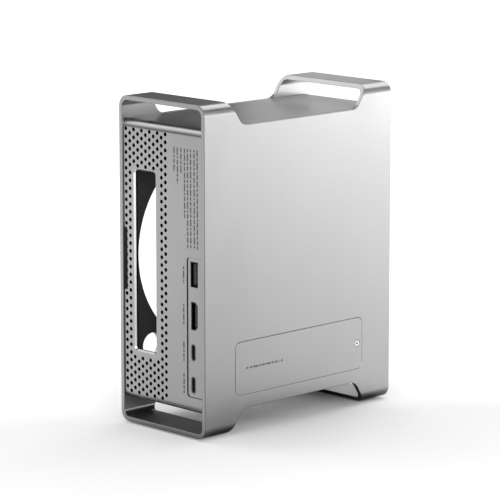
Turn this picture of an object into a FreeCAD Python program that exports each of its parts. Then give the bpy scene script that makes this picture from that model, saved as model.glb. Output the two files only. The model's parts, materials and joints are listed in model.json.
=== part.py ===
import FreeCAD, Part
import math
import os
import Sketcher

# Upright desktop docking station: an aluminium sleeve with carrying bars round a folded inner
# shell, a cradle for a flat square computer, a port board and a drive bay behind a small door.
# +X is the drive door's side, -Y is the port side, +Z is up, and Z = 0 is the table.

DIMENSIONS = {
    # Outer sleeve
    "sleeve_width": 67.0,
    "sleeve_depth": 143.2,
    "sleeve_height": 180.0,
    "sleeve_wall": 2.6,
    "sleeve_radius": 6.2,
    "bar_depth": 19.4,
    "handle_rise": 12.8,
    "foot_rise": 13.1,
    "notch_run": 8.3,
    "notch_radius": 7.0,
    # Foot pads
    "pad_height": 1.0,
    "pad_depth": 11.0,
    "pad_end_inset": 8.0,
    "pad_radius": 3.0,
    # Inner shell, a folded sheet
    "shell_sheet": 2.0,
    "shell_bend_radius": 4.5,
    "shell_side_gap": 0.3,
    "shell_rear_recess": 0.8,
    "shell_front_recess": 2.7,
    "slot_inset": 8.5,
    "slot_rise": 28.25,
    "slot_width": 16.0,
    "slot_height": 98.6,
    "slot_radius": 1.55,
    "slot_chamfer": 0.85,
    "thumb_notch_rise": 60.4,
    "thumb_notch_height": 34.6,
    "thumb_notch_depth": 2.4,
    "thumb_notch_radius": 0.8,
    # Perforations in the rear panel
    "hole_diameter": 2.25,
    "hole_column_pitch": 3.12,
    "hole_row_pitch": 4.31,
    "hole_side_inset": 1.75,
    "hole_low_margin": 4.4,
    "hole_high_margin": 4.9,
    "hole_field_width": 31.4,
    "hole_slot_margin": 0.5,
    # Port plate and sockets
    "plate_width": 11.7,
    "plate_rise": 8.9,
    "plate_radius": 2.0,
    "plate_gap": 0.2,
    "plate_recess": 0.5,
    "plate_end_margin": 2.2,
    "socket_gap": 0.2,
    "socket_skin": 0.35,
    "tongue_recess": 1.2,
    "type_a_length": 13.4,
    "type_a_height": 5.3,
    "type_a_depth": 13.0,
    "type_a_tongue_thickness": 1.9,
    "type_a_tongue_lift": 1.05,
    "type_a_tongue_margin": 1.05,
    "video_length": 14.9,
    "video_height": 4.65,
    "video_depth": 11.0,
    "video_lift": 0.4,
    "video_corner": 1.8,
    "video_tongue_thickness": 1.3,
    "video_tongue_margin": 1.45,
    "type_c_length": 8.94,
    "type_c_height": 3.16,
    "type_c_depth": 8.0,
    "type_c_tongue_thickness": 0.7,
    "type_c_tongue_margin": 1.2,
    "type_c_lift": 0.3,
    "type_c_end_flat": 0.05,
    "type_c_spacing": 17.8,
    "video_spacing": 19.9,
    "type_a_spacing": 22.5,
    # Computer cradle
    "cradle_gap": 0.2,
    "liner_thickness": 1.2,
    "cradle_wall": 1.5,
    "cradle_rail_height": 10.8,
    "bezel_thickness": 2.0,
    "vent_diameter": 114.4,
    "vent_offset_rear": 4.4,
    "vent_offset_up": 0.9,
    "button_hole_diameter": 14.0,
    "button_hole_rear": 14.3,
    "button_hole_rise": 13.4,
    "strip_height": 0.8,
    "strip_width": 8.0,
    "strip_end_inset": 12.0,
    "strip_side_inset": 4.0,
    # Main board
    "board_to_wall": 9.6,
    "board_thickness": 1.6,
    "board_standoff": 0.9,
    "board_rear_gap": 1.0,
    "board_margin": 2.4,
    "board_front_margin": 5.0,
    "standoff_diameter": 5.0,
    "board_screw_diameter": 2.0,
    "board_screw_head": 3.8,
    "board_screw_head_height": 1.2,
    "board_screw_inset": 3.0,
    "board_screw_rear_inset": 14.3,
    "board_screw_recess": 1.7,
    "screw_clearance": 0.1,
    "chip_height": 1.2,
    "hub_chip_side": 10.0,
    "bridge_chip_side": 9.0,
    "power_chip_side": 7.0,
    "coil_side": 5.6,
    "coil_height": 3.0,
    "can_diameter": 5.0,
    "can_height": 4.8,
    "can_spacing": 8.0,
    "component_spacing": 20.0,
    # Shell screws
    "shell_screw_diameter": 3.0,
    "shell_screw_head": 5.4,
    "shell_screw_length": 8.0,
    "shell_screw_recess": 2.1,
    "shell_screw_recess_depth": 0.6,
    "shell_screw_boss": 6.6,
    "shell_screw_inset_x": 9.0,
    "shell_screw_inset_y": 22.0,
    # Drive bay and its door
    "door_length": 98.1,
    "door_height": 29.2,
    "door_rise": 20.6,
    "door_thickness": 1.8,
    "door_radius": 3.5,
    "door_gap": 0.15,
    "door_seat_gap": 0.1,
    "hook_width": 4.0,
    "hook_spread": 18.0,
    "hook_reach": 2.4,
    "hook_leg": 1.6,
    "hook_toe": 1.1,
    "hook_gap": 0.2,
    "hook_inset": 0.5,
    "frame_wall": 1.6,
    "frame_gap": 0.4,
    "connector_length": 8.0,
    "connector_width": 22.0,
    "connector_height": 6.7,
    "connector_inset": 2.3,
    "card_slot_height": 1.2,
    "card_slot_width": 20.0,
    "card_slot_depth": 5.0,
    "card_slot_top": 1.2,
    "drive_span": 84.4,
    "latch_post_diameter": 4.6,
    "latch_post_height": 4.7,
    "latch_lift": 0.3,
    "latch_height": 2.0,
    "latch_reach": 3.8,
    "latch_lobe_width": 2.6,
    "latch_pin_diameter": 2.0,
    "latch_pin_length": 3.0,
    "latch_pin_clearance": 0.1,
    "thermal_pad_thickness": 2.1,
    "thermal_pad_width": 20.0,
    "thermal_pad_rear_inset": 13.0,
    "thermal_pad_front_inset": 16.0,
    # Door screw
    "door_screw_inset": 3.73,
    "door_screw_diameter": 2.0,
    "door_screw_head": 3.5,
    "door_screw_head_height": 1.0,
    "door_screw_sink": 0.05,
    "door_screw_length": 5.0,
    "door_screw_recess": 1.3,
    "door_screw_recess_depth": 0.7,
    "door_screw_clearance": 0.3,
    "clip_diameter": 3.2,
    "clip_thickness": 0.5,
    "clip_gap": 0.3,
    "insert_wall": 0.5,
    "insert_length": 5.0,
    "insert_clearance": 0.45,
    "insert_sink": 0.7,
    "boss_wall": 1.3,
}

doc = FreeCAD.newDocument("docking_station")
sheet = doc.addObject("Spreadsheet::Sheet", "Sheet")
for row, (alias, value) in enumerate(DIMENSIONS.items(), start=1):
    sheet.set("A%d" % row, alias)
    sheet.set("B%d" % row, str(value))
    sheet.setAlias("B%d" % row, alias)
doc.recompute()

ORIGIN = FreeCAD.Vector(0, 0, 0)
AXES = {
    "X": FreeCAD.Vector(1, 0, 0),
    "Y": FreeCAD.Vector(0, 1, 0),
    "Z": FreeCAD.Vector(0, 0, 1),
}
NEAR = 0.01
nodes = []


class Size:
    """A length: its number now, and the spreadsheet expression that gives it."""

    def __init__(self, number, text):
        self.number = number
        self.text = text

    def __add__(self, other):
        other = as_size(other)
        return Size(self.number + other.number, "(%s + %s)" % (self.text, other.text))

    def __sub__(self, other):
        other = as_size(other)
        return Size(self.number - other.number, "(%s - %s)" % (self.text, other.text))

    def __mul__(self, factor):
        return Size(self.number * factor, "(%s * %s)" % (self.text, factor))

    def __truediv__(self, divisor):
        return Size(self.number / divisor, "(%s / %s)" % (self.text, divisor))

    def __neg__(self):
        return Size(-self.number, "(0 - %s)" % self.text)


def as_size(value):
    """Give a plain number the form of a Size."""
    if isinstance(value, Size):
        return value
    return Size(float(value), "(%s)" % value)


def dim(alias):
    """Read a driving dimension from the spreadsheet."""
    return Size(float(sheet.get(alias)), "Sheet.%s" % alias)


ZERO = as_size(0)


def bind(thing, name, size):
    """Tie a property of a document object to a size."""
    thing.setExpression(name, as_size(size).text)


def place(thing, x, y, z):
    """Tie an object's position to three sizes."""
    for name, size in (("x", x), ("y", y), ("z", z)):
        bind(thing, "Placement.Base.%s" % name, size)


def finish(thing, name):
    """Name a finished sub-part."""
    thing.Label = name
    nodes.append(thing)
    return thing


def box(name, x, y, z):
    """A block between a low and a high size along each axis."""
    block = doc.addObject("Part::Box", name)
    for side, (low, high) in (("Length", x), ("Width", y), ("Height", z)):
        bind(block, side, as_size(high) - low)
    place(block, x[0], y[0], z[0])
    return block


def rod(name, axis, start, length, diameter):
    """A round bar from a start point along an axis."""
    bar = doc.addObject("Part::Cylinder", name)
    turn = FreeCAD.Rotation(AXES["Z"], AXES[axis])
    bar.Placement = FreeCAD.Placement(ORIGIN, turn)
    bind(bar, "Radius", as_size(diameter) / 2)
    bind(bar, "Height", length)
    place(bar, *start)
    return bar


def fuse(name, pieces):
    """Join overlapping shapes into one solid."""
    joined = doc.addObject("Part::MultiFuse", name)
    joined.Shapes = pieces
    joined.Refine = True
    return joined


def cut(name, base, tools):
    """Take one or more shapes out of another."""
    tool = tools[0]
    if len(tools) > 1:
        tool = fuse(name + "_tools", tools)
    result = doc.addObject("Part::Cut", name)
    result.Base = base
    result.Tool = tool
    return result


def group(name, pieces):
    """Keep like pieces together as separate solids of one node."""
    together = doc.addObject("Part::Compound", name)
    together.Links = pieces
    return together


def new_body(name):
    return doc.addObject("PartDesign::Body", name)


def new_sketch(body, name, role):
    """A sketch on one of the body's own origin planes."""
    sketch = body.newObject("Sketcher::SketchObject", name)
    planes = [plane for plane in body.Origin.OriginFeatures if plane.Role == role]
    sketch.AttachmentSupport = (planes[0], [""])
    sketch.MapMode = "FlatFace"
    return sketch


def hold(sketch, kind, target, size):
    """Add a constraint and tie its value to a size."""
    index = sketch.addConstraint(Sketcher.Constraint(kind, *target, size.number))
    bind(sketch, "Constraints[%d]" % index, size)


def hold_point(sketch, curve, point, across, up):
    """Fix a point of a curve by its distances from the sketch's origin."""
    hold(sketch, "DistanceX", (-1, 1, curve, point), across)
    hold(sketch, "DistanceY", (-1, 1, curve, point), up)


def draw_polygon(sketch, corners):
    """A closed outline of straight lines, each corner fixed by its sizes."""
    spots = [FreeCAD.Vector(across.number, up.number, 0) for across, up in corners]
    count = len(spots)
    lines = []
    for index in range(count):
        line = Part.LineSegment(spots[index], spots[(index + 1) % count])
        lines.append(sketch.addGeometry(line))
    for index in range(count):
        following = lines[(index + 1) % count]
        sketch.addConstraint(Sketcher.Constraint("Coincident", lines[index], 2, following, 1))
    for line, (across, up) in zip(lines, corners):
        hold_point(sketch, line, 1, across, up)


def draw_rectangle(sketch, left, right, low, high):
    draw_polygon(sketch, [(left, low), (right, low), (right, high), (left, high)])


def draw_rounded_rectangle(sketch, left, right, low, high, radius):
    """A rectangle with four equal round corners."""
    curve = radius.number
    inner_left = left.number + curve
    inner_right = right.number - curve
    inner_low = low.number + curve
    inner_high = high.number - curve
    sides = [
        ((inner_left, low.number), (inner_right, low.number)),
        ((right.number, inner_low), (right.number, inner_high)),
        ((inner_right, high.number), (inner_left, high.number)),
        ((left.number, inner_high), (left.number, inner_low)),
    ]
    centres = [
        (inner_right, inner_low),
        (inner_right, inner_high),
        (inner_left, inner_high),
        (inner_left, inner_low),
    ]
    quarter = math.pi / 2
    chain = []
    for turn in range(4):
        start, end = [FreeCAD.Vector(*spot, 0) for spot in sides[turn]]
        chain.append(sketch.addGeometry(Part.LineSegment(start, end)))
        circle = Part.Circle(FreeCAD.Vector(*centres[turn], 0), AXES["Z"], curve)
        arc = Part.ArcOfCircle(circle, (turn - 1) * quarter, turn * quarter)
        chain.append(sketch.addGeometry(arc))
    for index in range(8):
        following = chain[(index + 1) % 8]
        sketch.addConstraint(Sketcher.Constraint("Tangent", chain[index], 2, following, 1))
    low_side, right_side, high_side, left_side = chain[0::2]
    for line in (low_side, high_side):
        sketch.addConstraint(Sketcher.Constraint("Horizontal", line))
    for line in (right_side, left_side):
        sketch.addConstraint(Sketcher.Constraint("Vertical", line))
    first_arc = chain[1]
    for arc in chain[3::2]:
        sketch.addConstraint(Sketcher.Constraint("Equal", first_arc, arc))
    hold(sketch, "Radius", (first_arc,), radius)
    hold(sketch, "DistanceY", (-1, 1, low_side, 1), low)
    hold(sketch, "DistanceX", (-1, 1, right_side, 1), right)
    hold(sketch, "DistanceY", (-1, 1, high_side, 1), high)
    hold(sketch, "DistanceX", (-1, 1, left_side, 1), left)


def draw_circle(sketch, across, up, diameter):
    spot = FreeCAD.Vector(across.number, up.number, 0)
    circle = sketch.addGeometry(Part.Circle(spot, AXES["Z"], diameter.number / 2))
    hold_point(sketch, circle, 3, across, up)
    hold(sketch, "Radius", (circle,), diameter / 2)


def pad(body, sketch, length, side="One side", backwards=False):
    """Add material along the sketch's normal."""
    feature = body.newObject("PartDesign::Pad", sketch.Name + "_pad")
    feature.Profile = sketch
    feature.SideType = side
    feature.Reversed = backwards
    bind(feature, "Length", length)
    doc.recompute()
    return feature


def pocket(body, sketch, length=None, side="One side", backwards=False):
    """Take material away, right through unless a length is given."""
    before = body.Shape.Volume
    feature = body.newObject("PartDesign::Pocket", sketch.Name + "_pocket")
    feature.Profile = sketch
    feature.SideType = side
    feature.Reversed = backwards
    if length is None:
        feature.Type = "ThroughAll"
    else:
        feature.Type = "Length"
        bind(feature, "Length", length)
    doc.recompute()
    if body.Shape.Volume >= before:
        raise RuntimeError("%s removed nothing" % feature.Name)
    return feature


def flare(body, wide, narrow, name):
    """Take away the space between two outlines that face each other."""
    before = body.Shape.Volume
    feature = body.newObject("PartDesign::SubtractiveLoft", name)
    feature.Profile = wide
    feature.Sections = [narrow]
    feature.Ruled = True
    doc.recompute()
    if body.Shape.Volume >= before:
        raise RuntimeError("%s removed nothing" % name)
    return feature


def edges_through(shape, axis, places):
    """Names of the straight edges along an axis that pass through the given places."""
    along = AXES[axis]
    names = []
    for index, edge in enumerate(shape.Edges, start=1):
        if edge.Curve.TypeId != "Part::GeomLine":
            continue
        start = edge.Vertexes[0].Point
        direction = edge.Vertexes[-1].Point - start
        if direction.cross(along).Length > NEAR:
            continue
        for spot in places:
            offset = start - spot
            across = offset - along * offset.dot(along)
            if across.Length < NEAR:
                names.append("Edge%d" % index)
                break
    return names


def round_edges(body, axis, places, radius, name):
    """Round the edges along an axis at the given places."""
    base = body.Tip
    names = edges_through(base.Shape, axis, places)
    if not names:
        raise RuntimeError("%s found no edge" % name)
    feature = body.newObject("PartDesign::Fillet", name)
    feature.Base = (base, names)
    bind(feature, "Radius", radius)
    doc.recompute()
    return feature


# Main planes of the sleeve
half_width = dim("sleeve_width") / 2
half_depth = dim("sleeve_depth") / 2
sleeve_low = dim("pad_height")
sleeve_high = sleeve_low + dim("sleeve_height")
wall_inside = half_width - dim("sleeve_wall")
bar_edge = half_depth - dim("bar_depth")
notch_edge = bar_edge - dim("notch_run")
shell_low = sleeve_low + dim("foot_rise")
shell_high = sleeve_high - dim("handle_rise")

# Main planes of the inner shell
shell_left = dim("shell_side_gap") - wall_inside
shell_right = wall_inside - dim("shell_side_gap")
shell_rear = dim("shell_rear_recess") - half_depth
shell_front = half_depth - dim("shell_front_recess")
shell_floor = shell_low + dim("shell_sheet")
shell_ceiling = shell_high - dim("shell_sheet")
panel_inside = shell_rear + dim("shell_sheet")

# Main planes of the cradle and its computer bay
board_face = wall_inside - dim("board_to_wall")
board_back = board_face - dim("board_thickness")
cradle_left = dim("cradle_gap") - wall_inside
cradle_right = board_back - dim("board_standoff")
inner_bend = dim("shell_bend_radius") - dim("shell_sheet")
cradle_rear = panel_inside + inner_bend + dim("cradle_gap")
cradle_high = shell_ceiling - dim("cradle_gap")
bay_left = cradle_left + dim("liner_thickness")
bay_right = cradle_right - dim("cradle_wall")
bay_floor = shell_floor + dim("cradle_rail_height")
bay_ceiling = cradle_high - dim("cradle_rail_height")
vent_y = -dim("vent_offset_rear")
vent_z = (bay_floor + bay_ceiling) / 2 + dim("vent_offset_up")
button_y = cradle_rear + dim("button_hole_rear")
button_z = bay_floor + dim("button_hole_rise")

# Main planes of the drive bay and its door
door_low = sleeve_low + dim("door_rise")
door_high = door_low + dim("door_height")
door_z = (door_low + door_high) / 2
door_front = dim("door_length") / 2
door_rear = -door_front
door_inside = half_width - dim("door_thickness")
screw_y = door_front - dim("door_screw_inset")
frame_top = door_inside - dim("door_seat_gap")
frame_front = door_front - dim("frame_gap")
frame_low = door_low + dim("frame_gap")
frame_high = door_high - dim("frame_gap")
connector_rear = door_rear + dim("connector_inset")
latch_y = connector_rear + dim("drive_span")

# Places of the sockets along the port plate
plate_face = shell_rear + dim("plate_recess")
plate_low = shell_low + dim("plate_rise")
type_c_lower_z = plate_low + dim("plate_end_margin") + dim("type_c_length") / 2
type_c_upper_z = type_c_lower_z + dim("type_c_spacing")
video_z = type_c_upper_z + dim("video_spacing")
type_a_z = video_z + dim("type_a_spacing")
plate_high = type_a_z + dim("type_a_length") / 2 + dim("plate_end_margin")

# Extent of the main board
board_rear = panel_inside + dim("board_rear_gap")
board_front = door_front + dim("board_front_margin")
board_low = frame_low - dim("board_margin")
board_high = plate_high
board_screw_rows = (board_low + dim("board_screw_inset"), board_high - dim("board_screw_inset"))
board_screw_columns = (
    board_rear + dim("board_screw_rear_inset"),
    board_front - dim("board_screw_inset"),
)
board_screw_spots = [(y, z) for y in board_screw_columns for z in board_screw_rows]

# Screws up through the bottom plate
shell_screw_columns = (
    bay_left + dim("shell_screw_inset_x"),
    bay_right - dim("shell_screw_inset_x"),
)
shell_screw_rows = (
    cradle_rear + dim("shell_screw_inset_y"),
    shell_front - dim("shell_screw_inset_y"),
)
shell_screw_spots = [(x, y) for x in shell_screw_columns for y in shell_screw_rows]


def notch_outline(sketch, level, outer_edge):
    """The gap between two bars: a flat with a slope at each end, open past the sleeve's edge."""
    slope = dim("notch_run") / (outer_edge - level).number
    beyond = (outer_edge - level) / 2
    spread = bar_edge + slope * beyond.number
    draw_polygon(sketch, [
        (-notch_edge, level),
        (notch_edge, level),
        (spread, outer_edge + beyond),
        (-spread, outer_edge + beyond),
    ])


def make_outer_sleeve():
    """The ring of aluminium with its bars, windows and door opening."""
    body = new_body("sleeve_body")
    ring = new_sketch(body, "sleeve_ring", "XZ_Plane")
    draw_rounded_rectangle(ring, -half_width, half_width, sleeve_low, sleeve_high,
                           dim("sleeve_radius"))
    draw_rounded_rectangle(ring, -wall_inside, wall_inside,
                           sleeve_low + dim("sleeve_wall"), sleeve_high - dim("sleeve_wall"),
                           dim("sleeve_radius") - dim("sleeve_wall"))
    pad(body, ring, dim("sleeve_depth"), side="Symmetric")
    for name, level, outer_edge in (("handle_gap", shell_high, sleeve_high),
                                    ("foot_gap", shell_low, sleeve_low)):
        gap = new_sketch(body, name, "YZ_Plane")
        notch_outline(gap, level, outer_edge)
        pocket(body, gap, side="Symmetric")
    corners = [FreeCAD.Vector(0, side * notch_edge.number, level.number)
               for side in (-1, 1) for level in (shell_low, shell_high)]
    round_edges(body, "X", corners, dim("notch_radius"), "notch_fillets")
    windows = new_sketch(body, "windows", "YZ_Plane")
    draw_circle(windows, vent_y, vent_z, dim("vent_diameter"))
    draw_circle(windows, button_y, button_z, dim("button_hole_diameter"))
    pocket(body, windows)
    opening = new_sketch(body, "door_opening", "YZ_Plane")
    around = dim("door_gap")
    draw_rounded_rectangle(opening, door_rear - around, door_front + around,
                           door_low - around, door_high + around,
                           dim("door_radius") + around)
    pocket(body, opening, backwards=True)
    return finish(body, "outer_sleeve")


def hole_spots():
    """Centres of the perforations, in staggered columns, clear of the cable slot."""
    radius = dim("hole_diameter").number / 2
    column_pitch = dim("hole_column_pitch").number
    row_pitch = dim("hole_row_pitch").number
    left = shell_left.number + dim("hole_side_inset").number
    low = shell_low.number + dim("hole_low_margin").number
    high = shell_high.number - dim("hole_high_margin").number
    keep = radius + dim("hole_slot_margin").number + dim("slot_chamfer").number
    slot_left = shell_left.number + dim("slot_inset").number - keep
    slot_right = slot_left + dim("slot_width").number + 2 * keep
    slot_low = shell_low.number + dim("slot_rise").number - keep
    slot_high = slot_low + dim("slot_height").number + 2 * keep
    columns = int(dim("hole_field_width").number / column_pitch) + 1
    rows = int((high - low - row_pitch / 2) / row_pitch) + 1
    spots = []
    for column in range(columns):
        x = left + column * column_pitch
        first = low + row_pitch / 2 * ((column + 1) % 2)
        for row in range(rows):
            z = first + row * row_pitch
            if slot_left < x < slot_right and slot_low < z < slot_high:
                continue
            spots.append((x, z))
    return spots


def draw_slot_outline(sketch, spread):
    """Outline of the cable slot, wider all round by the given amount."""
    left = shell_left + dim("slot_inset")
    low = shell_low + dim("slot_rise")
    draw_rounded_rectangle(sketch, left - spread, left + dim("slot_width") + spread,
                           low - spread, low + dim("slot_height") + spread,
                           dim("slot_radius") + spread)


def make_perforations():
    """All the small round holes of the rear panel, as one cutting shape."""
    start = shell_rear.number - dim("shell_sheet").number
    length = dim("shell_sheet").number * 3
    radius = dim("hole_diameter").number / 2
    drills = [Part.makeCylinder(radius, length, FreeCAD.Vector(x, start, z), AXES["Y"])
              for x, z in hole_spots()]
    tool = doc.addObject("Part::Feature", "perforations")
    tool.Shape = Part.makeCompound(drills)
    tool.Placement = FreeCAD.Placement()
    return tool


def make_inner_shell():
    """Top plate, rear panel and bottom plate, folded from one sheet."""
    body = new_body("shell_body")
    block = new_sketch(body, "shell_block", "YZ_Plane")
    draw_rectangle(block, shell_rear, shell_front, shell_low, shell_high)
    pad(body, block, shell_right * 2, side="Symmetric")
    inside = new_sketch(body, "shell_inside", "YZ_Plane")
    draw_rectangle(inside, panel_inside, shell_front + dim("shell_sheet"),
                   shell_floor, shell_ceiling)
    pocket(body, inside, side="Symmetric")
    outer_bends = [FreeCAD.Vector(0, shell_rear.number, level.number)
                   for level in (shell_low, shell_high)]
    round_edges(body, "X", outer_bends, dim("shell_bend_radius"), "outer_bends")
    inner_bends = [FreeCAD.Vector(0, panel_inside.number, level.number)
                   for level in (shell_floor, shell_ceiling)]
    round_edges(body, "X", inner_bends, inner_bend, "inner_bends")
    through_panel = half_depth
    slot = new_sketch(body, "cable_slot", "XZ_Plane")
    draw_slot_outline(slot, ZERO)
    pocket(body, slot, through_panel, backwards=True)
    chamfer = dim("slot_chamfer")
    wide = new_sketch(body, "slot_flare_outside", "XZ_Plane")
    draw_slot_outline(wide, chamfer * 2)
    bind(wide, "AttachmentOffset.Base.z", chamfer - shell_rear)
    narrow = new_sketch(body, "slot_flare_inside", "XZ_Plane")
    draw_slot_outline(narrow, ZERO)
    bind(narrow, "AttachmentOffset.Base.z", -(shell_rear + chamfer))
    flare(body, wide, narrow, "slot_flare")
    thumb = new_sketch(body, "thumb_notch", "XZ_Plane")
    thumb_low = shell_low + dim("thumb_notch_rise")
    draw_rounded_rectangle(thumb, shell_left - dim("thumb_notch_depth"),
                           shell_left + dim("thumb_notch_depth"),
                           thumb_low, thumb_low + dim("thumb_notch_height"),
                           dim("thumb_notch_radius"))
    pocket(body, thumb, through_panel, backwards=True)
    opening = new_sketch(body, "plate_opening", "XZ_Plane")
    gap = dim("plate_gap")
    plate_left = shell_right - dim("plate_width")
    draw_rounded_rectangle(opening, plate_left - gap, shell_right + dim("plate_width"),
                           plate_low - gap, plate_high + gap, dim("plate_radius") + gap)
    pocket(body, opening, through_panel, backwards=True)
    perforated = cut("shell_perforated", body, [make_perforations()])
    sinks = []
    for index, (x, y) in enumerate(shell_screw_spots):
        sinks.append(screw_sink("shell_sink_%d" % index, x, y))
    return finish(cut("shell_finished", perforated, sinks), "inner_shell")


def screw_sink(name, x, y):
    """A countersunk hole up through the bottom plate."""
    clearance = dim("screw_clearance")
    cone = doc.addObject("Part::Cone", name + "_cone")
    head_depth = (dim("shell_screw_head") - dim("shell_screw_diameter")) / 2
    bind(cone, "Radius1", dim("shell_screw_head") / 2 + clearance)
    bind(cone, "Radius2", dim("shell_screw_diameter") / 2 + clearance)
    bind(cone, "Height", head_depth)
    place(cone, x, y, shell_low)
    hole = rod(name + "_hole", "Z", (x, y, shell_low), dim("shell_sheet") * 2,
               dim("shell_screw_diameter") + clearance * 2)
    return fuse(name, [cone, hole])


def make_shell_screws():
    """Countersunk screws from below, through the bottom plate into the cradle."""
    head_depth = (dim("shell_screw_head") - dim("shell_screw_diameter")) / 2
    screws = []
    for index, (x, y) in enumerate(shell_screw_spots):
        name = "shell_screw_%d" % index
        head = doc.addObject("Part::Cone", name + "_head")
        bind(head, "Radius1", dim("shell_screw_head") / 2)
        bind(head, "Radius2", dim("shell_screw_diameter") / 2)
        bind(head, "Height", head_depth)
        place(head, x, y, shell_low)
        shank = rod(name + "_shank", "Z", (x, y, shell_low), dim("shell_screw_length"),
                    dim("shell_screw_diameter"))
        recess = rod(name + "_recess", "Z", (x, y, shell_low), dim("shell_screw_recess_depth"),
                     dim("shell_screw_recess"))
        screws.append(cut(name, fuse(name + "_blank", [head, shank]), [recess]))
    return finish(group("shell_screw_group", screws), "shell_screws")


def socket_places():
    """Each socket's name, middle height, outer size across the board, lift and length."""
    return {
        "type_a": (type_a_z, dim("type_a_height"), ZERO, dim("type_a_length")),
        "video": (video_z, dim("video_height"), dim("video_lift"), dim("video_length")),
        "type_c_upper": (type_c_upper_z, dim("type_c_height"), dim("type_c_lift"),
                         dim("type_c_length")),
        "type_c_lower": (type_c_lower_z, dim("type_c_height"), dim("type_c_lift"),
                         dim("type_c_length")),
    }


def draw_socket_outline(sketch, socket, offset):
    """The outline of a socket's mouth, grown or shrunk by an offset."""
    middle, height, lift, length = socket_places()[socket]
    left = board_face + lift - offset
    right = board_face + lift + height + offset
    low = middle - length / 2 - offset
    high = middle + length / 2 + offset
    if socket == "video":
        corner = dim("video_corner")
        draw_polygon(sketch, [
            (left, low),
            (right - corner, low),
            (right, low + corner),
            (right, high - corner),
            (right - corner, high),
            (left, high),
        ])
    elif socket == "type_a":
        draw_rectangle(sketch, left, right, low, high)
    else:
        end_radius = height / 2 + offset - dim("type_c_end_flat")
        draw_rounded_rectangle(sketch, left, right, low, high, end_radius)


def make_port_plate():
    """The plate round the sockets, set back a little in the rear panel."""
    body = new_body("plate_body")
    outline = new_sketch(body, "plate_outline", "XZ_Plane")
    plate_left = shell_right - dim("plate_width")
    draw_rounded_rectangle(outline, plate_left, shell_right + dim("plate_width"),
                           plate_low, plate_high, dim("plate_radius"))
    outline.AttachmentOffset = FreeCAD.Placement(ORIGIN, FreeCAD.Rotation())
    bind(outline, "AttachmentOffset.Base.z", -panel_inside)
    pad(body, outline, dim("shell_sheet") - dim("plate_recess"))
    trim = new_sketch(body, "plate_trim", "XZ_Plane")
    draw_rectangle(trim, shell_right, shell_right + dim("plate_width") * 2,
                   plate_low - dim("plate_radius"), plate_high + dim("plate_radius"))
    pocket(body, trim, side="Symmetric")
    for socket in socket_places():
        mouth = new_sketch(body, socket + "_mouth", "XZ_Plane")
        draw_socket_outline(mouth, socket, dim("socket_gap"))
        pocket(body, mouth, side="Symmetric")
    return finish(body, "port_plate")


def make_socket(socket, depth, tongue_lift, tongue_thickness, tongue_margin):
    """A folded metal shell, closed at the back, with a contact tongue inside."""
    body = new_body(socket + "_body")
    outline = new_sketch(body, socket + "_outline", "XZ_Plane")
    draw_socket_outline(outline, socket, ZERO)
    bind(outline, "AttachmentOffset.Base.z", -(plate_face + depth))
    pad(body, outline, depth)
    cavity = new_sketch(body, socket + "_cavity", "XZ_Plane")
    draw_socket_outline(cavity, socket, -dim("socket_skin"))
    back = plate_face + depth - dim("socket_skin")
    bind(cavity, "AttachmentOffset.Base.z", -back)
    pocket(body, cavity, depth * 2, backwards=True)
    finish(body, socket + "_shell")
    middle, height, lift, length = socket_places()[socket]
    low = board_face + lift + tongue_lift
    half = length / 2 - tongue_margin
    blade = box(socket + "_blade", (low, low + tongue_thickness),
                (plate_face + dim("tongue_recess"), back), (middle - half, middle + half))
    finish(blade, socket + "_tongue")


def make_sockets():
    """The four sockets on the board, three of them with the tongue in mid height."""
    make_socket("type_a", dim("type_a_depth"), dim("type_a_tongue_lift"),
                dim("type_a_tongue_thickness"), dim("type_a_tongue_margin"))
    video_lift = (dim("video_height") - dim("video_tongue_thickness")) / 2
    make_socket("video", dim("video_depth"), video_lift,
                dim("video_tongue_thickness"), dim("video_tongue_margin"))
    type_c_lift = (dim("type_c_height") - dim("type_c_tongue_thickness")) / 2
    for socket in ("type_c_upper", "type_c_lower"):
        make_socket(socket, dim("type_c_depth"), type_c_lift,
                    dim("type_c_tongue_thickness"), dim("type_c_tongue_margin"))


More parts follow.
